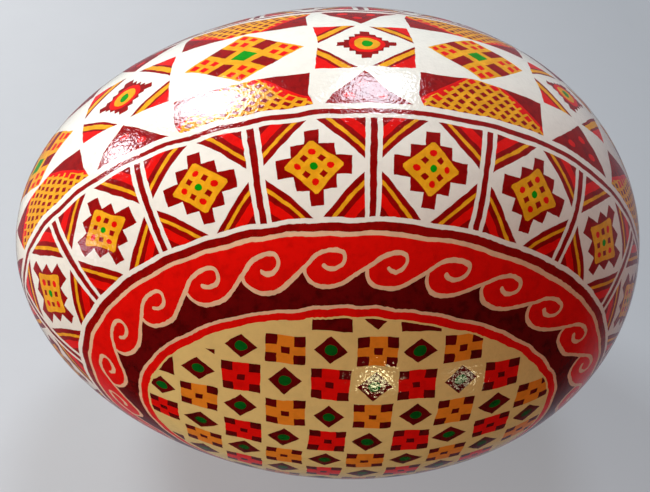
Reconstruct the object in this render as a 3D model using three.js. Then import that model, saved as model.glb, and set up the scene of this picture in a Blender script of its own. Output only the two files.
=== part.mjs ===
// A pysanka: a blown hen's egg, dyed in patterns, varnished, and sealed with a bead of beeswax.
//
// The egg lies on its side. X runs along the egg with the blunt end at +X, Z is up, and the origin
// is under the middle of the egg's length, on the surface that the egg rests on.
// Every layer of the egg is the same egg shape drawn at a greater depth below the outside, so the
// layers nest: varnish, shell, outer membrane, inner membrane. The blow hole passes through all four
// at the blunt end, and the wax bead closes it.

import * as THREE from 'three';

// Driving dimensions, in millimetres.
const HALF_LENGTH = 28.7;         // half of the egg's length
const MID_RADIUS = 21.75;         // the egg's radius halfway along its length
const BLUNTNESS = 0.07;           // how much fuller the blunt half is than the pointed half
const REST_FLAT_LENGTH = 6;       // length of the flat facet that stands in for the resting contact
const VARNISH_THICKNESS = 0.08;
const SHELL_THICKNESS = 0.36;
const OUTER_MEMBRANE_THICKNESS = 0.06;
const INNER_MEMBRANE_THICKNESS = 0.04;
const LAYER_GAP = 0.03;           // clearance between one layer and the next
const BLOW_HOLE_RADIUS = 0.6;
const AIR_CELL_SAG = 0.8;         // how far the free part of the inner membrane bows inwards
const WAX_STEM_CLEARANCE = 0.05;  // radial room between the wax stem and the blow hole
const WAX_STEM_DEPTH = 1.3;       // how far the wax reaches below the egg's tip
const WAX_HEAD_RADIUS = 0.8;
const WAX_PROUD = 0.22;           // how far the wax head stands above the varnish

// Faceting.
const FACETS = 28;                // round the egg; a multiple of 4 puts a flat at the bottom
const WAX_FACETS = 16;
const STATIONS_PER_END = 8;       // rings of vertices between the resting flat and each end
const AIR_CELL_STATIONS = 2;      // rings of the shell, next to the blow hole, that the air cell spans
const AIR_CELL_RINGS = 4;
const WAX_DOME_RINGS = 4;

// The egg's radius as a fraction of its mid radius, s being the place along it from -1 to 1.
const fullness = (s) => Math.sqrt(Math.max(0, 1 - s * s)) * (1 + BLUNTNESS * s);

// The widest place along the egg, where the slope of fullness() is zero.
const WIDEST = (Math.sqrt(1 + 8 * BLUNTNESS ** 2) - 1) / (4 * BLUNTNESS);
const WIDEST_RADIUS = MID_RADIUS * fullness(WIDEST);

// The place along the egg where its surface at some depth narrows to a given radius, blunt side.
function placeOfRadius(radius, depth) {
  let wide = WIDEST;
  let narrow = 1;
  for (let i = 0; i < 60; i += 1) {
    const middle = (wide + narrow) / 2;
    if ((MID_RADIUS - depth) * fullness(middle) > radius) wide = middle;
    else narrow = middle;
  }
  return wide;
}

// Places along the egg from the pointed tip to a blunt-side place, evenly spread in angle, with
// the resting flat's two ends among them.
function stations(lastPlace) {
  const flatHalf = REST_FLAT_LENGTH / 2 / HALF_LENGTH;
  const flatStart = Math.asin(WIDEST - flatHalf);
  const flatEnd = Math.asin(WIDEST + flatHalf);
  const last = Math.asin(lastPlace);
  const places = [];
  for (let i = 0; i <= STATIONS_PER_END; i += 1) {
    places.push(Math.sin(THREE.MathUtils.lerp(-Math.PI / 2, flatStart, i / STATIONS_PER_END)));
  }
  for (let i = 0; i <= STATIONS_PER_END; i += 1) {
    places.push(Math.sin(THREE.MathUtils.lerp(flatEnd, last, i / STATIONS_PER_END)));
  }
  return places;
}

// Points (radius, x) of the egg's profile at a depth, from the pointed tip to the blow hole.
// Both ends of the resting flat take the widest radius, which makes that facet level.
function profileAt(depth) {
  const halfLength = HALF_LENGTH - depth;
  const midRadius = MID_RADIUS - depth;
  return stations(placeOfRadius(BLOW_HOLE_RADIUS, depth)).map((s, i) => {
    const onFlat = i === STATIONS_PER_END || i === STATIONS_PER_END + 1;
    const radius = i === 0 ? 0 : midRadius * fullness(onFlat ? WIDEST : s);
    return new THREE.Vector2(radius, halfLength * s);
  });
}

// The inner membrane's profile at a depth: it follows the shell as far as the air cell's rim, then
// runs free across the cell to the blow hole, bowing inwards.
function membraneProfile(depth) {
  const points = profileAt(depth).slice(0, -AIR_CELL_STATIONS);
  const rim = points.at(-1);
  for (let i = 1; i <= AIR_CELL_RINGS; i += 1) {
    const t = i / AIR_CELL_RINGS;
    const radius = THREE.MathUtils.lerp(rim.x, BLOW_HOLE_RADIUS, t);
    points.push(new THREE.Vector2(radius, rim.y - AIR_CELL_SAG * (1 - (radius / rim.x) ** 2)));
  }
  return points;
}

// Turns a closed profile of (radius, x) points about the X axis. The facets' middles, not their
// corners, lie on the true round surface, so a flat is centred under the egg.
function turned(profile, facets) {
  const spread = 1 / Math.cos(Math.PI / facets);
  const points = profile.map((p) => new THREE.Vector2(p.x * spread, p.y));
  const geometry = new THREE.LatheGeometry(points, facets, Math.PI / facets, 2 * Math.PI);
  return geometry.rotateZ(-Math.PI / 2);
}

// A layer of the egg between two depths, pierced by the blow hole.
function layer(outerDepth, thickness) {
  const outside = profileAt(outerDepth);
  const inside = profileAt(outerDepth + thickness);
  return turned([...outside, ...inside.reverse()], FACETS);
}

function innerMembrane(outerDepth, thickness) {
  const outside = membraneProfile(outerDepth);
  const inside = membraneProfile(outerDepth + thickness);
  return turned([...outside, ...inside.reverse()], FACETS);
}

// The wax bead: a stem through the hole with a low domed head over its mouth.
function waxBead() {
  const stemRadius = BLOW_HOLE_RADIUS - WAX_STEM_CLEARANCE;
  const headUnderside = HALF_LENGTH + LAYER_GAP;
  const profile = [
    new THREE.Vector2(0, HALF_LENGTH - WAX_STEM_DEPTH),
    new THREE.Vector2(stemRadius, HALF_LENGTH - WAX_STEM_DEPTH),
    new THREE.Vector2(stemRadius, headUnderside),
    new THREE.Vector2(WAX_HEAD_RADIUS, headUnderside),
  ];
  for (let i = 1; i <= WAX_DOME_RINGS; i += 1) {
    const angle = (i / WAX_DOME_RINGS) * (Math.PI / 2);
    const rise = (WAX_PROUD - LAYER_GAP) * Math.sin(angle);
    const radius = i === WAX_DOME_RINGS ? 0 : WAX_HEAD_RADIUS * Math.cos(angle);
    profile.push(new THREE.Vector2(radius, headUnderside + rise));
  }
  return turned(profile, WAX_FACETS);
}

// Materials.
const clearGloss = new THREE.MeshStandardMaterial({
  color: 0xb03a22, roughness: 0.12, metalness: 0, transparent: true, opacity: 0.6,
});
const dyedCalcite = new THREE.MeshStandardMaterial({ color: 0xb03a22, roughness: 0.45, metalness: 0 });
const driedMembrane = new THREE.MeshStandardMaterial({ color: 0xeee6d2, roughness: 0.7, metalness: 0 });
const darkWax = new THREE.MeshStandardMaterial({ color: 0x3a1a10, roughness: 0.5, metalness: 0 });

function piece(name, geometry, material) {
  const mesh = new THREE.Mesh(geometry, material);
  mesh.name = name;
  return mesh;
}

const shellDepth = VARNISH_THICKNESS + LAYER_GAP;
const outerMembraneDepth = shellDepth + SHELL_THICKNESS + LAYER_GAP;
const innerMembraneDepth = outerMembraneDepth + OUTER_MEMBRANE_THICKNESS + LAYER_GAP;

const group = new THREE.Group();
group.add(
  piece('varnish_coat', layer(0, VARNISH_THICKNESS), clearGloss),
  piece('eggshell', layer(shellDepth, SHELL_THICKNESS), dyedCalcite),
  piece('outer_membrane', layer(outerMembraneDepth, OUTER_MEMBRANE_THICKNESS), driedMembrane),
  piece('inner_membrane', innerMembrane(innerMembraneDepth, INNER_MEMBRANE_THICKNESS), driedMembrane),
  piece('wax_bead', waxBead(), darkWax),
);

// The lowest flat touches the ground, and the egg with its wax bead is centred over the origin.
group.position.set(-WAX_PROUD / 2, 0, WIDEST_RADIUS);

export default group;
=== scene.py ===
"""A pysanka: a hen's egg dyed in wax-resist patterns and varnished, lying on its side.

The egg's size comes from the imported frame. The drawing on it is made flat, as filled shapes laid over
each other, then cut into one mesh for each zone of the egg and wrapped onto the egg's true surface.
Inside this file lengths are in millimetres, and new_piece() turns them into metres.

Flat places on the drawing: s runs lengthwise round the egg, from the pointed tip over the top to the
blunt tip and back underneath; v runs across, from the middle of the star band towards the front oval.
"""

import math

import bpy
import bmesh
import numpy as np
from mathutils import Matrix, Vector
from mathutils.geometry import delaunay_2d_cdt


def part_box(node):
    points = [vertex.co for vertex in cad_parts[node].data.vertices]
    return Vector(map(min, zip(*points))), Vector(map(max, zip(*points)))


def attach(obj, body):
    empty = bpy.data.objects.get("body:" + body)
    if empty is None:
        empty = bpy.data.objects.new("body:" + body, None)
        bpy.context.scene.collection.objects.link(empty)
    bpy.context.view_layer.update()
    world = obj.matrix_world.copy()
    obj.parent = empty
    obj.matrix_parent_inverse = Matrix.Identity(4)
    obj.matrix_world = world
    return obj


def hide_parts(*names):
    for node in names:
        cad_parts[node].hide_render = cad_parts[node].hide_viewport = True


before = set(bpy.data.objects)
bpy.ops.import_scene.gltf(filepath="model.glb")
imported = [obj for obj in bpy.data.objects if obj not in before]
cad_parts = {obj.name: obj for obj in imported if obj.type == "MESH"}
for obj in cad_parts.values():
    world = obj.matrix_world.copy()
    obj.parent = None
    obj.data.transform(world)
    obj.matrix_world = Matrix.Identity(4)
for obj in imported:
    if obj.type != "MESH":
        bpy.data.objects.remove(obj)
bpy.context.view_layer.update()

MM = 0.001
TAU = 2 * math.pi

# ---------------------------------------------------------------- the egg's shape

BLUNTNESS = 0.07          # how much fuller the blunt half is than the pointed half
BLOW_HOLE_RADIUS = 0.6
HALVINGS = 44             # how often a place on a ring is halved towards the surface


def fullness(place):
    """The egg's radius as a fraction of its mid radius; place runs along it from -1 to 1."""
    return np.sqrt(np.clip(1 - place * place, 0, None)) * (1 + BLUNTNESS * place)


def box_of(node):
    return [np.array(corner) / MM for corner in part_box(node)]


# The coat runs from the pointed tip to the blow hole's edge.
WIDEST_PLACE = (math.sqrt(1 + 8 * BLUNTNESS**2) - 1) / (4 * BLUNTNESS)
coat_low, coat_high = box_of("varnish_coat")
AXIS_HEIGHT = coat_high[2] / 2
MID_RADIUS = AXIS_HEIGHT / float(fullness(WIDEST_PLACE))
HOLE_PLACE = math.sqrt(1 - (BLOW_HOLE_RADIUS / (MID_RADIUS * (1 + BLUNTNESS))) ** 2)
HALF_LENGTH = (coat_high[0] - coat_low[0]) / (1 + HOLE_PLACE)
CENTRE = np.array([coat_low[0] + HALF_LENGTH, 0, AXIS_HEIGHT])


def radius_at(x, depth=0.0):
    return (MID_RADIUS - depth) * fullness(np.clip(x / (HALF_LENGTH - depth), -1, 1))


def outward_normals(points):
    """Unit normals of the egg's surface at points on it, from the gradient of its equation."""
    x = points[:, 0]
    step = 0.001
    rise = (radius_at(x + step) ** 2 - radius_at(x - step) ** 2) / (2 * step)
    normals = np.stack([-rise / 2, points[:, 1], points[:, 2]], 1)
    at_tip = np.abs(x) > HALF_LENGTH - 0.02
    normals[at_tip] = np.sign(x[at_tip])[:, None] * (1, 0, 0)
    return normals / np.linalg.norm(normals, axis=1)[:, None]


def on_ring(angle, offset):
    """Points of the egg in the plane y = -offset, at an angle round the Y axis."""
    cos, sin = np.cos(angle), np.sin(angle)
    near, far = np.zeros_like(angle), np.full_like(angle, 1.2)
    for _ in range(HALVINGS):
        scale = (near + far) / 2
        x, z = HALF_LENGTH * scale * cos, MID_RADIUS * scale * sin
        inside_egg = (np.abs(x) < HALF_LENGTH) & (z * z + offset * offset < radius_at(x) ** 2)
        near, far = np.where(inside_egg, scale, near), np.where(inside_egg, far, scale)
    return np.stack([HALF_LENGTH * near * cos, -offset, MID_RADIUS * near * sin], 1)


# Distances s are measured on a ring about halfway across the front diamond band.
MEASURING_RING = 10.8
ring_angles = np.linspace(math.pi, -math.pi, 2881)
ring_points = on_ring(ring_angles, np.full_like(ring_angles, MEASURING_RING))
ring_steps = np.linalg.norm(np.diff(ring_points, axis=0), axis=1)
ring_distances = np.concatenate([[0.0], np.cumsum(ring_steps)])
LAP = ring_distances[-1]                     # once round the egg

# ---------------------------------------------------------------- the drawing's layout

EDGE_STEPS = 480                             # shared points round the egg where two zones meet
EDGE_STEP = LAP / EDGE_STEPS
PANELS = 16                                  # diamond panels round each side
PANEL = LAP / PANELS
SCROLLS = 24                                 # running scrolls round each side
SCROLL = LAP / SCROLLS
STAR_EDGE = 7.35                             # dark line between the star band and a diamond band
LOW_STRIPE = 15.9                            # dark stripe between a diamond band and a scroll band
OVAL_CUT = 20.5                              # where a scroll band meets an oval's border
OVAL_STRIPE = 21.45                          # red stripe in the oval's border

# How far the hand-drawn lines wander from an even layout, at several distances across the egg:
# v: (along s, across v), each as (even, cos, sin, cos 2, sin 2) of the turn round the egg.
# Many of these numbers, and the distances STAR_EDGE, LOW_STRIPE and OVAL_STRIPE, were fitted by another
# program.
DRIFT = {
    0.0: ((-0.3, 0.5, 0.4, -0.68, 0.47), (-0.05, 0.95, 0.0, 0.0, 0.0)),
    5.5: ((0.35, 0.43, 0.0, 0.0, 0.19), (0.0, 0.3, 0.0, 0.0, 0.0)),
    STAR_EDGE: ((0.3, 1.0, 0.6, 0.0, 0.0), (0.0, 0.21, -0.06, 0.07, 0.04)),
    LOW_STRIPE: ((0.35, 0.0, 0.85, 0.0, 0.0), (0.0, 0.36, -0.03, -0.13, -0.49)),
    OVAL_STRIPE: ((0.2, -1.1, 0.85, 0.0, 0.0), (0.0, -0.19, 0.3, -0.48, -0.35)),
}


def drift(s, v):
    """The drawing's slow wander as (along s, across v). It mirrors across v = 0."""
    turn = TAU * s / LAP
    waves = [np.ones_like(turn), np.cos(turn), np.sin(turn), np.cos(2 * turn), np.sin(2 * turn)]
    knots = sorted(DRIFT)
    shifts = []
    for way in (0, 1):
        sizes_at_knots = np.array([DRIFT[knot][way] for knot in knots]).T
        sizes = [np.interp(np.abs(v), knots, size) for size in sizes_at_knots]
        shifts.append(sum(wave * size for wave, size in zip(waves, sizes)))
    along, across = shifts
    return along, across * np.interp(v, [-STAR_EDGE, 0, STAR_EDGE], [-1, 1, 1])


def wrap_band(flat, front=True):
    """Wraps flat points (s, v) onto the egg. The back has the front's drawing, turned half round."""
    s, v = flat[:, 0], flat[:, 1]
    if not front:
        s, v = LAP - s, -v
    along, across = drift(s, v)
    angle = np.interp((s + along) % LAP, ring_distances, ring_angles)
    return on_ring(angle, MID_RADIUS * np.sin((v + across) / MID_RADIUS))


def wrap_oval(flat, front=True):
    """Wraps an oval's flat points (x, height on the surface) onto one side of the egg."""
    x, turn = flat[:, 0], flat[:, 1] / MID_RADIUS
    side = -1 if front else 1
    radius = radius_at(x)
    return np.stack([x, side * radius * np.cos(turn), side * -radius * np.sin(turn)], 1)


def unwrap_oval(points, front=True):
    side = -1 if front else 1
    turn = np.arctan2(side * -points[:, 2], side * points[:, 1])
    return np.stack([points[:, 0], MID_RADIUS * turn], 1)


# ---------------------------------------------------------------- a steady hand, but a hand

WAVES = 16
HAND_SWAY = 0.05          # how far drawn edges sway over lengths of 3 to 9 mm
HAND_TREMOR = 0.016       # and over lengths of 0.5 to 1.5 mm


def make_waves(rng, shortest, longest, size):
    length = rng.uniform(shortest, longest, WAVES)
    heading = rng.uniform(0, TAU, WAVES)
    laps = np.round(LAP / length * np.cos(heading))      # whole waves, so that s = 0 meets s = LAP
    return {
        "s": TAU * laps / LAP,
        "v": TAU * np.sin(heading) / length,
        "phase": rng.uniform(0, TAU, (2, WAVES)),
        "size": size * math.sqrt(2 / WAVES),
    }


hand_rng = np.random.default_rng(11)
HAND = [make_waves(hand_rng, 3, 9, HAND_SWAY), make_waves(hand_rng, 0.5, 1.5, HAND_TREMOR)]


def by_hand(points):
    """Moves points as an unsteady hand would."""
    moved = points.copy()
    for waves in HAND:
        beat = points[:, :1] * waves["s"] + points[:, 1:] * waves["v"]
        for axis in (0, 1):
            moved[:, axis] += waves["size"] * np.sin(beat + waves["phase"][axis]).sum(1)
    return moved


DRAWN_STEP = 0.33         # longest edge of a drawn outline


def finely(outline):
    """Splits a closed outline's edges so that none is longer than a drawn step."""
    outline = np.asarray(outline, float)
    points = []
    for start, end in zip(outline, np.roll(outline, -1, 0)):
        count = max(1, math.ceil(np.linalg.norm(end - start) / DRAWN_STEP))
        points.extend(start + (end - start) * i / count for i in range(count))
    return np.array(points)


# ---------------------------------------------------------------- filled shapes

# Peach and cream are the undyed white shell of the scroll bands and ovals, tinted warm there: painted warm
# light.
DYES = [
    "white", "orange", "red", "maroon", "green", "peach", "cream", "dark_maroon", "dark_green", "amber",
]
WHITE, ORANGE, RED, MAROON, GREEN, PEACH_PAINTED_WARM, CREAM_PAINTED_WARM, DARK_MAROON, DARK_GREEN, AMBER = range(len(DYES))
HOLE = -1


class Drawing:
    """Filled shapes, each over those before it. A shape may be kept within an earlier outline."""

    def __init__(self, ground):
        self.ground = ground
        self.shapes = []

    def fill(self, dye, outline, within=None, steady=False):
        outline = finely(outline)
        if not steady:
            outline = by_hand(outline)
        self.shapes.append((dye, outline, within))
        return outline

    def dye_at(self, points):
        dyes = np.full(len(points), self.ground)
        for dye, outline, within in self.shapes:
            near = np.nonzero(((points >= outline.min(0)) & (points <= outline.max(0))).all(1))[0]
            near = near[inside(outline, points[near])]
            if within is not None:
                near = near[inside(within, points[near])]
            dyes[near] = dye
        return dyes


def inside(outline, points):
    """Which points lie inside an outline, by counting the edges to their right."""
    x, y = points[:, 0], points[:, 1]
    (ax, ay), (bx, by) = outline.T[..., None], np.roll(outline, -1, 0).T[..., None]
    spans = (ay > y) != (by > y)
    rise = np.where(by == ay, 1, by - ay)
    left_of = x < ax + (bx - ax) * (y - ay) / rise
    return (spans & left_of).sum(0) % 2 == 1


def rectangle(half_s, half_v, centre=(0, 0)):
    corners = [(-half_s, -half_v), (half_s, -half_v), (half_s, half_v), (-half_s, half_v)]
    return np.array(corners) + centre


def rhombus(half_s, half_v, centre=(0, 0)):
    return np.array([(half_s, 0), (0, half_v), (-half_s, 0), (0, -half_v)]) + centre


def ellipse(half_s, half_v, centre=(0, 0), sides=18):
    turns = np.arange(sides) * TAU / sides
    return np.stack([half_s * np.cos(turns), half_v * np.sin(turns)], 1) + centre


def four_fold(quarter):
    """A closed outline from the quarter with both coordinates positive, given anticlockwise."""
    quarter = np.array(quarter, float)
    reverse = quarter[::-1]
    return np.concatenate([quarter, reverse * (-1, 1), quarter * (-1, -1), reverse * (1, -1)])


def smooth(points, per_span=5):
    """A smooth path through points."""
    p = np.array(points, float)
    p = np.concatenate([[2 * p[0] - p[1]], p, [2 * p[-1] - p[-2]]])
    t = (np.arange(per_span) / per_span)[:, None]
    spans = []
    for a, b, c, d in zip(p, p[1:], p[2:], p[3:]):
        bend = 2 * a - 5 * b + 4 * c - d
        twist = 3 * b - a - 3 * c + d
        spans.append(b + ((c - a) * t + bend * t**2 + twist * t**3) / 2)
    return np.concatenate(spans + [p[-2:-1]])


def stroke(path, width):
    """The outline of a line drawn along a path, with round ends."""
    along = np.gradient(path, axis=0)
    along *= width / 2 / np.linalg.norm(along, axis=1)[:, None]
    across = np.stack([-along[:, 1], along[:, 0]], 1)
    turns = np.linspace(0, math.pi, 7)[1:-1, None]
    tip = path[-1] + across[-1] * np.cos(turns) + along[-1] * np.sin(turns)
    tail = path[0] - across[0] * np.cos(turns) - along[0] * np.sin(turns)
    return np.concatenate([path + across, tip, (path - across)[::-1], tail])


def striped_corner(drawing, corner, leg_s, leg_v, stripes):
    """A right triangle in a corner, striped along its long side. Each stripe is (dye, how far out)."""
    for dye, out in stripes:
        drawing.fill(dye, np.array([(0, 0), (leg_s * out, 0), (0, leg_v * out)]) + corner)


BOTH = (1, -1)
CORNERS = [(i, j) for i in BOTH for j in BOTH]
SIDES = [(1, 0), (-1, 0), (0, 1), (0, -1)]

# ---------------------------------------------------------------- the star band

BAND_LINE = 0.42                 # width of the dark line at the star band's edge
WAX_LINE = 0.36                  # width of an undyed line
RHOMBUS_TILE = 17 * EDGE_STEP    # half width of the tile round a rhombus
STAR_TILE = PANEL - RHOMBUS_TILE
PATCH_HALF = RHOMBUS_TILE - 0.1            # half width of a lattice patch
PATCH_INNER = 3.3
PATCH_OUTER = STAR_EDGE - BAND_LINE / 2 - WAX_LINE - 0.15
PATCH_CORNER = (3.3, 2.6)        # legs of a patch's dark corners
DOT_PITCH = (0.88, 0.52)         # along a row of the lattice's dots, and from row to row
STAR_OUTLINE = four_fold([
    (2.15, 0.27), (1.63, 0.29), (1.6, 0.56), (1.2, 0.6), (1.2, 1.0),
    (0.8, 1.05), (0.77, 1.47), (0.38, 1.5), (0.36, 1.95),
])
STAR_RINGS = [(RED, 1.32, 1.2), (ORANGE, 0.92, 0.88), (GREEN, 0.37, 0.46)]
RHOMBUS_HALF = (4.15, 3.1)
FLECK = (0.28, 0.34)             # half size of a red fleck, in thirds of the rhombus's own half size
STAR_CELL = (3.5, 2.95)          # half size of the square cell round a star
STAR_CELL_LEGS = (3.0, 2.65)
STAR_CELL_STRIPES = [(MAROON, 1.0), (ORANGE, 0.88), (MAROON, 0.65), (RED, 0.55)]
PATCH_CORNER_STRIPES = [(RED, 1.12), (MAROON, 1)]
FIRST_DOTS = 0.26                # from a patch's inner edge to its first row of dots
RED_DOT, DARK_DOT = (0.4, 0.32), (0.31, 0.24)
RED_DOTS_START, RED_DOTS_END = 0.95, 1.35        # from the patch's corner, in legs of the dark corner
TRIANGLE_HALF = 3.05             # half of a dotted triangle's outer side
TRIANGLE_TIP = 3.4
TRIANGLE_DOT = (0.38, 0.3)
TRIANGLE_DOTS = [(0, 4.8), (-1.15, 5.85), (1.15, 5.85)]


def draw_star_cell(drawing, s):
    for i, j in CORNERS:
        corner = np.array([s + i * STAR_CELL[0], j * STAR_CELL[1]])
        striped_corner(drawing, corner, -i * STAR_CELL_LEGS[0], -j * STAR_CELL_LEGS[1], STAR_CELL_STRIPES)
    drawing.fill(MAROON, STAR_OUTLINE + (s, 0))
    for dye, half_s, half_v in STAR_RINGS:
        drawing.fill(dye, ellipse(half_s, half_v, (s, 0)))


def draw_dotted_triangle(drawing, s, side):
    outer = side * PATCH_OUTER
    triangle = [(s - TRIANGLE_HALF, outer), (s + TRIANGLE_HALF, outer), (s, side * TRIANGLE_TIP)]
    drawing.fill(MAROON, triangle)
    for across, up in TRIANGLE_DOTS:
        drawing.fill(RED, ellipse(*TRIANGLE_DOT, (s + across, side * up)))


def draw_rhombus(drawing, s):
    """Nine cells: green in the middle, dark beside it, and orange with red flecks at the four tips."""
    drawing.fill(ORANGE, rhombus(*RHOMBUS_HALF, (s, 0)))
    third = np.array(RHOMBUS_HALF) / 3
    down, up = third, third * (1, -1)            # from a cell to its two neighbours
    for out, along in ((down, up), (-down, up), (up, down), (-up, down)):
        near, far, half = out * 0.66, out * 1.5, along * 0.29
        drawing.fill(MAROON, np.array([near - half, far - half, far + half, near + half]) + (s, 0))
    drawing.fill(GREEN, rhombus(*(third * 0.66), (s, 0)))
    fleck = third * FLECK
    for i, j in SIDES:
        tip = third * (2 * i, 2 * j) + (s, 0)
        for k, m in SIDES:
            drawing.fill(RED, rhombus(*fleck, tip + third * (0.5 * k, 0.5 * m)))


def draw_lattice_patch(drawing, s, side):
    """An orange lattice over dark dots, with dark inner corners; the dots beside the corners are red."""
    middle = (PATCH_INNER + PATCH_OUTER) / 2
    patch = drawing.fill(ORANGE, rectangle(PATCH_HALF, (PATCH_OUTER - PATCH_INNER) / 2, (s, side * middle)))
    rows = math.ceil((PATCH_OUTER - PATCH_INNER) / DOT_PITCH[1])
    dots = math.ceil(PATCH_HALF / DOT_PITCH[0])
    for row in range(rows):
        up = row * DOT_PITCH[1] + FIRST_DOTS
        for dot in range(-dots, dots + 1):
            along = (dot + 0.5 * (row % 2)) * DOT_PITCH[0]
            from_corner = (PATCH_HALF - abs(along)) / PATCH_CORNER[0] + up / PATCH_CORNER[1]
            if from_corner < RED_DOTS_START:
                continue
            dye, size = (RED, RED_DOT) if from_corner < RED_DOTS_END else (MAROON, DARK_DOT)
            drawing.fill(dye, rhombus(*size, (s + along, side * (PATCH_INNER + up))), within=patch)
    for end in BOTH:
        corner = np.array([s + end * PATCH_HALF, side * PATCH_INNER])
        leg_s, leg_v = -end * PATCH_CORNER[0], side * PATCH_CORNER[1]
        striped_corner(drawing, corner, leg_s, leg_v, PATCH_CORNER_STRIPES)


def blow_hole_place():
    """The flat place that the drift carries onto the blunt tip."""
    s, v = LAP / 2, 0.0
    for _ in range(20):
        along, across = drift(np.array([s]), np.array([v]))
        s, v = LAP / 2 - along[0], -across[0]
    return s, v


def draw_star_tile(unit):
    """One unit of the star band: star cells on even units, rhombi on odd ones."""
    s = unit * PANEL
    drawing = Drawing(WHITE)
    with_rhombus = unit % 2 == 1
    half = RHOMBUS_TILE if with_rhombus else STAR_TILE
    if with_rhombus:
        draw_rhombus(drawing, s)
    else:
        draw_star_cell(drawing, s)
    for side in BOTH:
        if with_rhombus:
            draw_lattice_patch(drawing, s, side)
        else:
            draw_dotted_triangle(drawing, s, side)
    if unit == PANELS // 2:
        drawing.fill(HOLE, ellipse(BLOW_HOLE_RADIUS, BLOW_HOLE_RADIUS, blow_hole_place()), steady=True)
    for side in BOTH:
        drawing.fill(MAROON, rectangle(half + 1, BAND_LINE / 2, (s, side * STAR_EDGE)))
    return drawing, (s - half, s + half)


# ---------------------------------------------------------------- the diamond bands

SEPARATOR = 0.5                  # width of the dark line between panels
STRIPE = 0.58                    # width of the dark stripe below the panels
PANEL_TOP = STAR_EDGE + BAND_LINE / 2 + WAX_LINE
PANEL_FOOT = LOW_STRIPE - STRIPE / 2 - WAX_LINE
PANEL_MIDDLE = (PANEL_TOP + PANEL_FOOT) / 2
MEDALLION = four_fold([(2.8, 0.72), (1.56, 0.74), (1.54, 1.7), (0.53, 1.72), (0.5, 2.8)])
MEDALLION_DIAMOND = four_fold([(2.12, 0.1), (1.04, 0.99), (0.12, 1.94)])
CELL = (0.59, 0.58)              # from a medallion's middle to its dark cells
DARK_CELL = (0.31, 0.29)
RED_CELL = (0.27, 0.26)
RED_CELL_REACH = (1.95, 1.9)     # how many times further out the red cells are than the dark ones
GREEN_CELL = 0.27
PANEL_STRIPES = [(MAROON, 1.03), (ORANGE, 0.84), (MAROON, 0.72), (RED, 0.55), (MAROON, 0.24)]
PANEL_GAP = (0.45, 0.6)          # from a striped corner's ends to the panel's middle lines


def draw_medallion(drawing, centre):
    drawing.fill(MAROON, MEDALLION + centre)
    drawing.fill(ORANGE, MEDALLION_DIAMOND + centre)
    for i, j in CORNERS:
        drawing.fill(MAROON, rhombus(*DARK_CELL, centre + np.array(CELL) * (i, j)))
    for i, j in SIDES:
        place = centre + np.array(CELL) * (RED_CELL_REACH[0] * i, RED_CELL_REACH[1] * j)
        drawing.fill(RED, ellipse(*RED_CELL, place, 8))
    drawing.fill(GREEN, ellipse(GREEN_CELL, GREEN_CELL, centre, 12))


def draw_diamond_tile(unit):
    """One panel, from the middle of one separator to the middle of the next."""
    middle = (unit + 0.5) * PANEL
    half_s = PANEL / 2 - SEPARATOR / 2 - WAX_LINE
    half_v = (PANEL_FOOT - PANEL_TOP) / 2
    drawing = Drawing(WHITE)
    for i, j in CORNERS:
        corner = np.array([middle + i * half_s, PANEL_MIDDLE + j * half_v])
        leg_s, leg_v = -i * (half_s - PANEL_GAP[0]), -j * (half_v - PANEL_GAP[1])
        striped_corner(drawing, corner, leg_s, leg_v, PANEL_STRIPES)
    draw_medallion(drawing, np.array([middle, PANEL_MIDDLE]))
    for end in BOTH:
        drawing.fill(MAROON, rectangle(SEPARATOR / 2, half_v, (middle + end * PANEL / 2, PANEL_MIDDLE)))
    reach = PANEL / 2 + 1
    drawing.fill(MAROON, rectangle(reach, BAND_LINE / 2, (middle, STAR_EDGE)))
    drawing.fill(MAROON, rectangle(reach, STRIPE / 2, (middle, LOW_STRIPE)))
    return drawing, (unit * PANEL, (unit + 1) * PANEL)


# ---------------------------------------------------------------- the scroll bands

SCROLL_LINE = 0.31               # width of a scroll's line
OVERLAP = 0.1                    # half of how far the line below the stripe runs under the stripe
SCROLL_PHASE = 0.35              # where the first scroll is centred, in scrolls
SCROLL_TOP = LOW_STRIPE + STRIPE / 2 + SCROLL_LINE       # where the red begins
# One scroll: from where it leaves the one before, round its trough, up over the next crest and in to
# the end of the curl. Distances run along the band and down from the low stripe.
TROUGH = [(-2.05, 2.55), (-1.95, 3.05), (-1.45, 3.55), (-0.65, 3.82), (0.35, 3.86), (1.35, 3.68),
          (2.4, 3.22), (3.3, 2.75)]
CURL = [(4.1, 2.3), (4.75, 1.88), (5.55, 1.6), (6.35, 1.5), (7.05, 1.6), (7.28, 1.98), (7.07, 2.42),
        (6.5, 2.7), (5.95, 2.7), (5.55, 2.52)]


def scroll_path(points, centre):
    return smooth(points) + (centre, LOW_STRIPE)


def draw_scroll_tile(unit):
    """One scroll's length of the band, with what the scrolls beside it draw there."""
    middle = (unit + 0.5) * SCROLL
    centres = [(unit + i + SCROLL_PHASE) * SCROLL for i in (-2, -1, 0, 1, 2)]
    drawing = Drawing(DARK_MAROON)
    for centre in centres:
        trough = scroll_path(TROUGH, centre)
        end = centre + SCROLL + TROUGH[0][0]
        drawing.fill(RED, [*trough, (end, trough[-1][1]), (end, LOW_STRIPE), (trough[0][0], LOW_STRIPE)])
    for centre in centres:
        drawing.fill(PEACH_PAINTED_WARM, stroke(scroll_path(TROUGH + CURL, centre), SCROLL_LINE))
    reach = SCROLL / 2 + 1
    line_place = (middle, SCROLL_TOP - SCROLL_LINE / 2 - OVERLAP)
    drawing.fill(PEACH_PAINTED_WARM, rectangle(reach, SCROLL_LINE / 2 + OVERLAP, line_place))
    drawing.fill(MAROON, rectangle(reach, STRIPE / 2, (middle, LOW_STRIPE)))
    return drawing, (unit * SCROLL, (unit + 1) * SCROLL)


# ---------------------------------------------------------------- the checkered ovals

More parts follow.
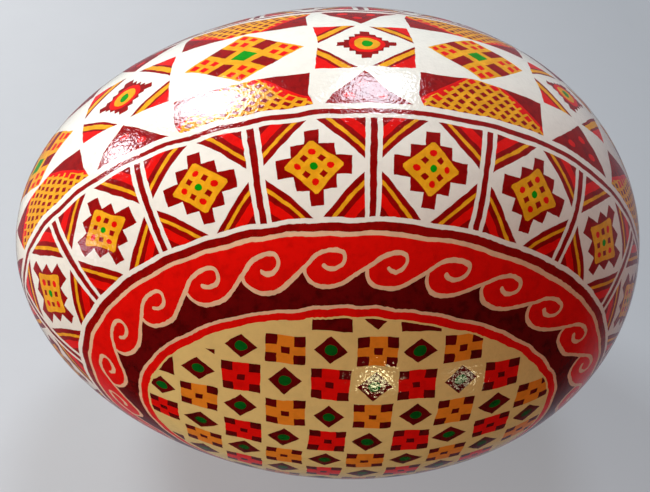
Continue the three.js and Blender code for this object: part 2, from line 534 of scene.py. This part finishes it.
CHECK_PITCH = (3.26, 3.14)       # along the egg and up it
CHECK_MIDDLE = (2.35, -0.13)
CHECK_HALF = (1.45, 1.38)
CHECK_CORNER = (0.84, 0.8)       # size of the dark corner of a check
CHECK_EYE = (0.3, 0.27)
DIAMOND_EYE = (0.46, 0.44)
UNEVEN = 0.1                     # how far a check may be from its even place
DIAMOND_SHARE = (0.8, 0.98)      # how much of its cell a diamond may fill
END_COLUMN, END_ROW = 5, 3       # the last whole ones, which are squeezed
SQUEEZE = 0.84
BORDER = [(-0.51, PEACH_PAINTED_WARM), (-0.27, RED), (0.27, CREAM_PAINTED_WARM)]    # from the stripe's middle, inwards
OVAL_MARGIN = 0.42               # where the checks' ground begins
WHOLE_DIAMOND = 0.6              # how far inside the ground a whole diamond's middle is
WHOLE_CHECK = 0.55
CUT_CELLS = [(-5, 2), (-1, 4), (0, 4), (1, 4)]         # columns and rows the border cuts, still dyed dark
STRAY_CORNER = [(-9.3, 7.85), (-9.3, 8.3), (-10.0, 8.25)]


def oval_ring(v):
    """The outline round an oval at a distance v from the star band's middle, in the oval's own places."""
    ring = np.stack([np.linspace(0, LAP, 420, endpoint=False), np.full(420, v)], 1)
    return unwrap_oval(wrap_band(by_hand(ring)))


def draw_check(drawing, centre, half, dye, within):
    drawing.fill(dye, rectangle(*half, centre), within)
    for i, j in CORNERS:
        corner = centre + (half - np.array(CHECK_CORNER) / 2) * (i, j)
        drawing.fill(DARK_MAROON, rectangle(CHECK_CORNER[0] / 2, CHECK_CORNER[1] / 2, corner), within)
    drawing.fill(DARK_MAROON, rectangle(*CHECK_EYE, centre), within)


def check_place(column, row):
    """A check's middle and half size. The last column and row are squeezed against the border."""
    place, half = [], []
    for step, end, pitch, middle, size in zip(
        (column, row), (END_COLUMN, END_ROW), CHECK_PITCH, CHECK_MIDDLE, CHECK_HALF
    ):
        beyond = max(0, abs(step) - end + 1)
        place.append(middle + pitch * (step - math.copysign(beyond * (1 - SQUEEZE) * 0.5, step)))
        half.append(size * (SQUEEZE if beyond == 1 else 1))
    return np.array(place), np.array(half)


def draw_oval():
    drawing = Drawing(DARK_MAROON)
    for offset, dye in BORDER:
        drawing.fill(dye, oval_ring(OVAL_STRIPE + offset), steady=True)
    ground_edge = OVAL_STRIPE + OVAL_MARGIN
    ground = drawing.fill(CREAM_PAINTED_WARM, oval_ring(ground_edge), steady=True)
    diamonds_end, checks_end = [oval_ring(ground_edge + margin) for margin in (WHOLE_DIAMOND, WHOLE_CHECK)]
    rng = np.random.default_rng(3)
    for column in range(-END_COLUMN - 1, END_COLUMN + 1):
        for row in range(-END_ROW - 1, END_ROW + 2):
            centre, half = check_place(column, row)
            centre += rng.uniform(-UNEVEN, UNEVEN, 2)
            size = half * rng.uniform(*DIAMOND_SHARE, 2)
            cut = (column, abs(row)) in CUT_CELLS
            if (column + row) % 2 == 0:
                whole = inside(diamonds_end, centre[None])[0]
                if whole or cut:
                    drawing.fill(DARK_MAROON, rhombus(*size, centre), ground)
                if whole:
                    drawing.fill(DARK_GREEN, ellipse(*DIAMOND_EYE, centre))
            elif inside(checks_end, centre[None])[0]:
                draw_check(drawing, centre, half, RED if row % 2 == 0 else AMBER, ground)
            elif cut:
                drawing.fill(DARK_MAROON, rectangle(*half, centre), ground)
    drawing.fill(DARK_MAROON, STRAY_CORNER)
    return drawing


# ---------------------------------------------------------------- from drawings to meshes

GRID = 1.0                       # spacing of the points between the drawn lines
WELD = 0.003


def cut_up(drawing, border, free_points):
    """Cuts the area in a border along every drawn outline: flat points, triangles and their dyes."""
    points, edges = [], []
    for outline in [border] + [shape[1] for shape in drawing.shapes]:
        first, count = len(points), len(outline)
        points.extend(outline)
        edges.extend((first + i, first + (i + 1) % count) for i in range(count))
    points.extend(free_points)
    flat, _, faces, *_ = delaunay_2d_cdt([Vector(p) for p in points], edges, [], 0, 1e-5, False)
    flat, faces = np.array(flat), np.array(faces)
    middles = flat[faces].mean(1)
    kept = inside(border, middles)
    faces, dyes = faces[kept], drawing.dye_at(middles[kept])
    return flat, faces[dyes != HOLE], dyes[dyes != HOLE]


def edge_places(start, end):
    return np.arange(round(start / EDGE_STEP), round(end / EDGE_STEP) + 1) * EDGE_STEP


def tile_border(s0, s1, v0, v1):
    """A tile's edge points, which the tiles beside it share."""
    s = edge_places(s0, s1)
    v = np.linspace(v0, v1, round((v1 - v0) / GRID) + 1)
    foot = [(x, v0) for x in s[:-1]]
    right = [(s[-1], y) for y in v[:-1]]
    top = [(x, v1) for x in s[:0:-1]]
    left = [(s[0], y) for y in v[:0:-1]]
    return np.array(foot + right + top + left)


def grid_points(low, high):
    counts = np.round((np.array(high) - low) / GRID).astype(int)
    columns, rows = [
        start + (end - start) * (np.arange(count) + 0.5) / count
        for start, end, count in zip(low, high, counts)
    ]
    return np.stack(np.meshgrid(columns, rows), -1).reshape(-1, 2)


def new_piece(name, points, faces, materials, dyes=None):
    """A smooth-shaded object from points in millimetres about the egg's middle."""
    mesh = bpy.data.meshes.new(name)
    mesh.from_pydata(((points + CENTRE) * MM).tolist(), [], faces.tolist())
    for material in materials:
        mesh.materials.append(material)
    if dyes is not None:
        mesh.polygons.foreach_set("material_index", dyes.astype(np.int32))
    mesh.shade_smooth()
    piece = bpy.data.objects.new(name, mesh)
    bpy.context.scene.collection.objects.link(piece)
    return piece


def skin_piece(name, points, faces, dyes, materials):
    """A zone of the egg's skin: its tiles welded together, facing out, shaded as the true egg is."""
    corners = points[faces]
    facing = np.cross(corners[:, 1] - corners[:, 0], corners[:, 2] - corners[:, 0])
    inward = (facing * outward_normals(corners.mean(1))).sum(1) < 0
    faces[inward] = faces[inward][:, ::-1]
    piece = new_piece(name, points, faces, materials, dyes)
    work = bmesh.new()
    work.from_mesh(piece.data)
    bmesh.ops.remove_doubles(work, verts=work.verts, dist=WELD * MM)
    bmesh.ops.delete(work, geom=[v for v in work.verts if not v.link_faces], context="VERTS")
    work.to_mesh(piece.data)
    work.free()
    places = np.array([vertex.co for vertex in piece.data.vertices]) / MM - CENTRE
    piece.data.normals_split_custom_set_from_vertices(outward_normals(places).tolist())
    return piece


def band_piece(name, tiles, v0, v1, materials, front=True):
    points, faces, dyes = [], [], []
    count = 0
    for drawing, (s0, s1) in tiles:
        border, grid = tile_border(s0, s1, v0, v1), grid_points((s0, v0), (s1, v1))
        flat, triangles, tile_dyes = cut_up(drawing, border, grid)
        points.append(wrap_band(flat, front))
        faces.append(triangles + count)
        dyes.append(tile_dyes)
        count += len(flat)
    return skin_piece(name, np.concatenate(points), np.concatenate(faces), np.concatenate(dyes), materials)


def oval_piece(name, materials, front):
    edge = np.stack([edge_places(0, LAP)[:-1], np.full(EDGE_STEPS, OVAL_CUT)], 1)
    border = unwrap_oval(wrap_band(edge, front), front)
    grid = grid_points(border.min(0), border.max(0))
    flat, faces, dyes = cut_up(draw_oval(), border, grid[inside(border, grid)])
    return skin_piece(name, wrap_oval(flat, front), faces, dyes, materials)


# ---------------------------------------------------------------- inside the egg, and its seal

ROUND = 96                       # facets round the egg's inner layers
ALONG = 80                       # and along it
FINER = 4                        # how much finer a layer's curve is worked out than it is kept
LAYERS = {                       # name: (depth of its outside, thickness)
    "eggshell_body": (0.11, 0.36),
    "outer_shell_membrane": (0.5, 0.06),
    "inner_shell_membrane": (0.59, 0.04),
}


def turned(name, profile, materials, facets=ROUND):
    """Turns a closed profile of (x, radius) about the egg's axis; points on the axis become one."""
    profile = np.asarray(profile, float)
    turns = np.arange(facets) * TAU / facets
    ring = np.stack([np.zeros(facets), np.cos(turns), np.sin(turns)], 1)
    points = [(x, 0, 0) + ring * radius for x, radius in profile]
    faces = []
    count = len(profile)
    for i in range(count):
        a, b = i * facets, (i + 1) % count * facets
        faces.extend((a + j, b + j, b + (j + 1) % facets, a + (j + 1) % facets) for j in range(facets))
    piece = new_piece(name, np.concatenate(points), np.array(faces), materials)
    work = bmesh.new()
    work.from_mesh(piece.data)
    bmesh.ops.remove_doubles(work, verts=work.verts, dist=1e-8)
    bmesh.ops.dissolve_degenerate(work, edges=work.edges, dist=1e-9)
    bmesh.ops.recalc_face_normals(work, faces=work.faces)
    work.to_mesh(piece.data)
    work.free()
    piece.data.shade_smooth()
    return piece


def layer_curve(depth):
    """Points (x, radius) of the egg at a depth, from the pointed tip to the blow hole."""
    turns = np.linspace(0, math.pi, ALONG * FINER)
    x = -(HALF_LENGTH - depth) * np.cos(turns)
    radius = radius_at(x, depth)
    kept = (x < 0) | (radius > BLOW_HOLE_RADIUS)
    return np.stack([x[kept][::FINER], radius[kept][::FINER]], 1)


def layer_piece(name, materials):
    depth, thickness = LAYERS[name]
    return turned(name, [*layer_curve(depth), *layer_curve(depth + thickness)[::-1]], materials)


def wax_profile():
    """The bead's stem, and a low head that has slumped over the blow hole."""
    head_low, head_high = box_of("wax_bead")
    stem_end, top = head_low[0] - CENTRE[0], head_high[0] - CENTRE[0]
    head_radius = (head_high[2] - head_low[2]) / 2
    stem_radius = BLOW_HOLE_RADIUS - 0.05
    under = HALF_LENGTH + 0.03
    turns = np.linspace(0, math.pi / 2, 12)
    rim = 0.07
    dome_x = under + rim + (top - under - rim) * np.sin(turns)
    dome_radius = (head_radius - 0.02) * np.cos(turns)
    stem = [(stem_end, 0), (stem_end + 0.04, stem_radius * 0.8), (stem_end + 0.15, stem_radius)]
    foot = [(under - 0.02, stem_radius), (under, head_radius - 0.06), (under + 0.03, head_radius)]
    return [*stem, *foot, *np.stack([dome_x, dome_radius], 1)]


# ---------------------------------------------------------------- materials

def new_material(name):
    material = bpy.data.materials.new(name)
    material.use_nodes = True
    nodes = material.node_tree.nodes
    return material, nodes, material.node_tree.links, nodes["Principled BSDF"]


def colour(rgb, shade=1.0):
    """An 8-bit display colour as the linear colour that a socket takes."""
    linear = [(c / 255 / 12.92 if c <= 10 else ((c / 255 + 0.055) / 1.055) ** 2.4) * shade for c in rgb]
    return (*linear, 1.0)


def add_noise(nodes, links, size, detail=3.0, roughness=0.5):
    """Noise whose patches are about a size in millimetres."""
    place = nodes.new("ShaderNodeTexCoord")
    noise = nodes.new("ShaderNodeTexNoise")
    noise.inputs["Scale"].default_value = 1 / (size * MM)
    noise.inputs["Detail"].default_value = detail
    noise.inputs["Roughness"].default_value = roughness
    links.new(place.outputs["Object"], noise.inputs["Vector"])
    return noise.outputs["Fac"]


def add_slope(nodes, links, coordinates, axis, start, end):
    """A factor that goes from 0 to 1 as one coordinate goes from start to end."""
    place = nodes.new("ShaderNodeTexCoord")
    split = nodes.new("ShaderNodeSeparateXYZ")
    links.new(place.outputs[coordinates], split.inputs["Vector"])
    slope = nodes.new("ShaderNodeMapRange")
    slope.inputs["From Min"].default_value = start
    slope.inputs["From Max"].default_value = end
    links.new(split.outputs[axis], slope.inputs["Value"])
    return slope.outputs["Result"]


def add_ramp(nodes, links, factor, stops):
    ramp = nodes.new("ShaderNodeValToRGB")
    ramp.color_ramp.elements[0].position, ramp.color_ramp.elements[0].color = stops[0]
    ramp.color_ramp.elements[1].position, ramp.color_ramp.elements[1].color = stops[-1]
    for position, value in stops[1:-1]:
        ramp.color_ramp.elements.new(position).color = value
    links.new(factor, ramp.inputs["Fac"])
    return ramp.outputs["Color"]


def add_bump(nodes, links, heights, below=None):
    """A bump from (height, its depth in millimetres) pairs, each laid over the one before."""
    normal = below
    for height, depth in heights:
        bump = nodes.new("ShaderNodeBump")
        bump.inputs["Distance"].default_value = depth * MM
        bump.inputs["Strength"].default_value = 1.0
        links.new(height, bump.inputs["Height"])
        if normal is not None:
            links.new(normal, bump.inputs["Normal"])
        normal = bump.outputs["Normal"]
    return normal


GRAIN = 0.26                     # size of the eggshell's grain
GRAIN_DEPTH = 0.02               # how deep it is in the shell
COAT_GRAIN_DEPTH = 0.026         # how much of it the varnish still shows
RIPPLE = 2.2                     # size of the varnish's slow ripples
RIPPLE_DEPTH = 0.02


def dyed_shell(name, rgb, mottle=0.25, pale=None):
    """Dye in fine-grained eggshell under gloss varnish. Mottle is how unevenly the dye took."""
    material, nodes, links, shader = new_material(name)
    even = add_noise(nodes, links, 0.9, 4, 0.6)
    deep = colour(rgb, 1 - mottle)
    light = colour(pale or rgb, 1 + mottle * 0.4)
    links.new(add_ramp(nodes, links, even, [(0.36, deep), (0.5, colour(rgb)), (0.66, light)]),
              shader.inputs["Base Color"])
    grain = add_noise(nodes, links, GRAIN, 2, 0.5)
    ripple = add_noise(nodes, links, RIPPLE, 1, 0.4)
    links.new(add_bump(nodes, links, [(grain, GRAIN_DEPTH)]), shader.inputs["Normal"])
    coat_bump = add_bump(nodes, links, [(ripple, RIPPLE_DEPTH), (grain, COAT_GRAIN_DEPTH)])
    links.new(coat_bump, shader.inputs["Coat Normal"])
    shader.inputs["Roughness"].default_value = 0.55
    shader.inputs["Specular IOR Level"].default_value = 0.0
    shader.inputs["Coat Weight"].default_value = 1.0
    shader.inputs["Coat Roughness"].default_value = 0.035
    shader.inputs["Coat IOR"].default_value = 1.5
    return material


def dye_materials():
    """In the order of DYES."""
    return [
        dyed_shell("undyed_white", (236, 232, 222), 0.04),
        dyed_shell("yellow_orange_dye", (232, 160, 24), 0.1, (240, 172, 34)),
        dyed_shell("red_dye", (226, 14, 6), 0.12),
        dyed_shell("maroon_dye", (144, 7, 5), 0.25),
        dyed_shell("green_dye", (8, 146, 12), 0.2),
        # Painted warm light: the next two are the undyed shell, tinted warmer than the white to stand for
        # the warm room light on the scroll bands and ovals.
        dyed_shell("peach_painted_warm_light", (232, 188, 152), 0.08),
        dyed_shell("cream_painted_warm_light", (228, 200, 128), 0.05),
        dyed_shell("dark_maroon_dye", (96, 5, 6), 0.4),
        dyed_shell("dark_green_dye", (6, 92, 22), 0.3),
        dyed_shell("amber_dye", (230, 134, 34), 0.1),
    ]


def chalky(name, rgb, mottle, size, depth, roughness):
    """A matt natural surface, such as bare eggshell or dried membrane."""
    material, nodes, links, shader = new_material(name)
    patches = add_noise(nodes, links, size, 4, 0.6)
    stops = [(0.35, colour(rgb, 1 - mottle)), (0.65, colour(rgb))]
    links.new(add_ramp(nodes, links, patches, stops), shader.inputs["Base Color"])
    grain = add_noise(nodes, links, size / 4, 3)
    links.new(add_bump(nodes, links, [(grain, depth)]), shader.inputs["Normal"])
    shader.inputs["Roughness"].default_value = roughness
    return material


def beeswax():
    material, nodes, links, shader = new_material("dark_beeswax")
    patches = add_noise(nodes, links, 0.3, 3)
    stops = [(0.35, colour((34, 14, 8))), (0.65, colour((66, 30, 16)))]
    links.new(add_ramp(nodes, links, patches, stops), shader.inputs["Base Color"])
    dents = add_noise(nodes, links, 0.25, 2)
    links.new(add_bump(nodes, links, [(dents, 0.03)]), shader.inputs["Normal"])
    shader.inputs["Roughness"].default_value = 0.4
    shader.inputs["Subsurface Weight"].default_value = 0.1
    shader.inputs["Subsurface Scale"].default_value = 0.4 * MM
    return material


FLOOR_LIT_X = -70.0              # where the floor is palest
FLOOR_DIM_X = 60.0               # and where it is dimmest


def pale_paper_with_painted_light():
    """A pale table top with painted shade, darker towards the right where daylight falls off, and a painted
    glow.
    """
    material, nodes, links, shader = new_material("pale_paper_with_painted_light")
    fibres = add_noise(nodes, links, 6, 5, 0.6)
    across = add_slope(nodes, links, "Object", "X", FLOOR_LIT_X * MM, FLOOR_DIM_X * MM)
    # Painted shade: from paler at FLOOR_LIT_X to darker at FLOOR_DIM_X, as the daylight falls off.
    near, far = colour((158, 158, 160)), colour((88, 92, 98))
    painted_falloff = add_ramp(nodes, links, across, [(0.0, near), (1.0, far)])
    flecks = add_ramp(nodes, links, fibres, [(0.3, (0.97, 0.97, 0.97, 1)), (0.7, (1, 1, 1, 1))])
    mix = nodes.new("ShaderNodeMix")
    mix.data_type = "RGBA"
    mix.blend_type = "MULTIPLY"
    mix.inputs["Factor"].default_value = 1.0
    links.new(painted_falloff, mix.inputs["A"])
    links.new(flecks, mix.inputs["B"])
    links.new(mix.outputs["Result"], shader.inputs["Base Color"])
    # A painted glow: the floor gives off light of its own, which lifts it all, the egg's shadow on it too.
    shader.inputs["Emission Color"].default_value = (0.27, 0.28, 0.295, 1)
    shader.inputs["Emission Strength"].default_value = 1.0
    shader.inputs["Roughness"].default_value = 0.9
    shader.inputs["Specular IOR Level"].default_value = 0.1
    return material


# ---------------------------------------------------------------- the egg

def build_skin():
    """The dyed, varnished skin, one piece for each zone of the drawing. It stands for the varnish coat."""
    dyes = dye_materials()
    star_tiles = [draw_star_tile(unit) for unit in range(PANELS)]
    pieces = [band_piece("dyed_star_band", star_tiles, -STAR_EDGE, STAR_EDGE, dyes)]
    panels = [draw_diamond_tile(unit) for unit in range(PANELS)]
    scrolls = [draw_scroll_tile(unit) for unit in range(SCROLLS)]
    for side, front in (("front", True), ("back", False)):
        pieces.append(band_piece(f"dyed_diamond_band_{side}", panels, STAR_EDGE, LOW_STRIPE, dyes, front))
        pieces.append(band_piece(f"dyed_scroll_band_{side}", scrolls, LOW_STRIPE, OVAL_CUT, dyes, front))
        pieces.append(oval_piece(f"dyed_checker_oval_{side}", dyes, front))
    for piece in pieces:
        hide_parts("varnish_coat")
        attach(piece, "root")


def build_inside():
    calcite = chalky("bare_calcite", (226, 214, 196), 0.08, 1.2, 0.02, 0.7)
    film = chalky("dried_membrane", (232, 222, 202), 0.12, 2.5, 0.03, 0.6)
    wax = beeswax()
    pieces = [
        (layer_piece("eggshell_body", [calcite]), "eggshell", "dyed_shell"),
        (layer_piece("outer_shell_membrane", [film]), "outer_membrane", "membrane"),
        (layer_piece("inner_shell_membrane", [film]), "inner_membrane", "membrane"),
        (turned("blow_hole_wax", wax_profile(), [wax], 48), "wax_bead", "wax"),
    ]
    for piece, node, slot in pieces:
        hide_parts(node)
        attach(piece, "root")


# ---------------------------------------------------------------- floor, light and camera

FLOOR_HALF = 6000.0
LIGHT_DISTANCE = 900
SPARK_DISTANCE = 55


def add_floor():
    h = FLOOR_HALF * MM
    mesh = bpy.data.meshes.new("floor")
    mesh.from_pydata([(-h, -h, 0), (h, -h, 0), (h, h, 0), (-h, h, 0)], [], [(0, 1, 2, 3)])
    mesh.materials.append(pale_paper_with_painted_light())
    floor = bpy.data.objects.new("floor", mesh)
    bpy.context.scene.collection.objects.link(floor)
    floor.visible_glossy = False


def add_panel_light(name, towards, distance, size, brightness, rgb):
    """A rectangular light facing the egg. Brightness is its own, against a white wall's of 1."""
    light = bpy.data.lights.new(name, "AREA")
    light.shape = "RECTANGLE"
    light.size, light.size_y = size[0] * MM, size[1] * MM
    light.energy = 4 * light.size * light.size_y * brightness
    light.color = rgb
    lamp = bpy.data.objects.new(name, light)
    direction = Vector(towards).normalized()
    lamp.location = (Vector(CENTRE) + direction * distance) * MM
    lamp.rotation_mode = "QUATERNION"
    lamp.rotation_quaternion = direction.to_track_quat("Z", "Y")
    bpy.context.scene.collection.objects.link(lamp)
    return lamp


def add_spark(name, spot, towards, distance, radius, brightness, rgb):
    """A small lamp placed to shine back from a spot on the egg."""
    light = bpy.data.lights.new(name, "POINT")
    light.shadow_soft_size = radius * MM
    light.energy = brightness * 4 * (math.pi * radius * MM) ** 2
    light.color = rgb
    lamp = bpy.data.objects.new(name, light)
    lamp.location = (Vector(CENTRE) + Vector(spot) + Vector(towards).normalized() * distance) * MM
    lamp.visible_diffuse = False
    bpy.context.scene.collection.objects.link(lamp)


def add_studio():
    """A pale studio: even to the camera, but mirrored bright behind the egg and dim in front of it."""
    world = bpy.data.worlds.new("studio")
    bpy.context.scene.world = world
    world.use_nodes = True
    nodes, links = world.node_tree.nodes, world.node_tree.links
    depth = add_slope(nodes, links, "Generated", "Y", -1.0, 1.0)
    dim, bright = (0.015, 0.014, 0.014, 1), (0.2, 0.2, 0.23, 1)
    shade = add_ramp(nodes, links, depth, [(0.42, dim), (0.66, bright)])
    mix = nodes.new("ShaderNodeMix")
    mix.data_type = "RGBA"
    mix.inputs["B"].default_value = (0.42, 0.44, 0.47, 1)
    links.new(nodes.new("ShaderNodeLightPath").outputs["Is Camera Ray"], mix.inputs["Factor"])
    links.new(shade, mix.inputs["A"])
    links.new(mix.outputs["Result"], nodes["Background"].inputs["Color"])
    world.cycles_visibility.diffuse = False


def add_lights():
    """Daylight from windows on the left and behind, with a little warm light from the room.

    The first rows only make highlights and the second rows only give soft light.
    """
    cool, plain, warm, amber = (0.9, 0.98, 1.0), (1.0, 0.94, 0.91), (1.0, 0.75, 0.46), (1.0, 0.4, 0.12)
    add_panel_light("back_window", (0.115, 0.448, 0.887), LIGHT_DISTANCE, (230, 290), 15, (0.82, 0.9, 1.0))
    for name, towards, size, brightness, tint in (
        ("left_window", (-0.521, 0.474, 0.711), (250, 300), 21, (0.94, 0.95, 1.0)),
        ("side_window", (-0.84, 0.331, 0.431), (160, 130), 24, (0.9, 0.95, 1.0)),
        ("low_window", (-0.987, -0.138, 0.076), (100, 120), 6, (0.95, 0.85, 1.0)),
    ):
        glint = add_panel_light(name, towards, LIGHT_DISTANCE, size, brightness, tint)
        glint.visible_diffuse = False
    for name, towards, size, brightness, tint in (
        ("left_daylight", (-0.507, 0.488, 0.711), (290, 300), 23, cool),
        ("left_wall", (-0.95, -0.25, 0.2), (400, 300), 8.3, plain),
        ("ceiling", (-0.65, -0.35, 0.7), (600, 500), 1.0, warm),
        ("front_bounce", (-0.3, -0.95, 0.3), (500, 300), 1.3, amber),
        ("right_bounce", (0.8, -0.5, 0.4), (400, 300), 1.6, (1.0, 0.2, 0.08)),
    ):
        soft = add_panel_light(name, towards, LIGHT_DISTANCE, size, brightness, tint)
        soft.visible_glossy = False
    yellow, straw = (1.0, 0.92, 0.5), (1.0, 0.92, 0.6)
    add_spark("lamp_left", (2.6, -20.8, 6.6), (0.14, -0.94, -0.32), SPARK_DISTANCE, 2.9, 38, yellow)
    add_spark("lamp_right", (9.2, -20.2, 6.1), (0.51, -0.77, -0.39), SPARK_DISTANCE, 2.4, 16, straw)


# The camera's values were fitted by another program too.
CAMERA_ANGLES = (-4.62, 44.75, 3.89)     # azimuth, elevation and roll in degrees
CAMERA_DISTANCE = 80.06
CAMERA_LENS = 46.33
CAMERA_SHIFT = (-0.0058, -0.0051)


def add_camera():
    """Looks down at the egg's front side, as near as a hand-held camera, a little tilted."""
    azimuth, elevation, roll = (math.radians(angle) for angle in CAMERA_ANGLES)
    back = Vector((
        math.sin(azimuth) * math.cos(elevation),
        -math.cos(azimuth) * math.cos(elevation),
        math.sin(elevation),
    ))
    level = Vector((math.cos(azimuth), math.sin(azimuth), 0))
    upright = back.cross(level)
    right = level * math.cos(roll) + upright * math.sin(roll)
    up = upright * math.cos(roll) - level * math.sin(roll)
    data = bpy.data.cameras.new("camera")
    data.lens = CAMERA_LENS
    data.sensor_width = 36
    data.shift_x, data.shift_y = CAMERA_SHIFT
    data.clip_start = 0.001
    camera = bpy.data.objects.new("camera", data)
    pose = Matrix((right, up, back)).transposed().to_4x4()
    pose.translation = (Vector(CENTRE) + back * CAMERA_DISTANCE) * MM
    camera.matrix_world = pose
    bpy.context.scene.collection.objects.link(camera)
    bpy.context.scene.camera = camera


build_skin()
build_inside()
add_floor()
add_studio()
add_lights()
add_camera()
bpy.context.scene.view_settings.view_transform = "Standard"
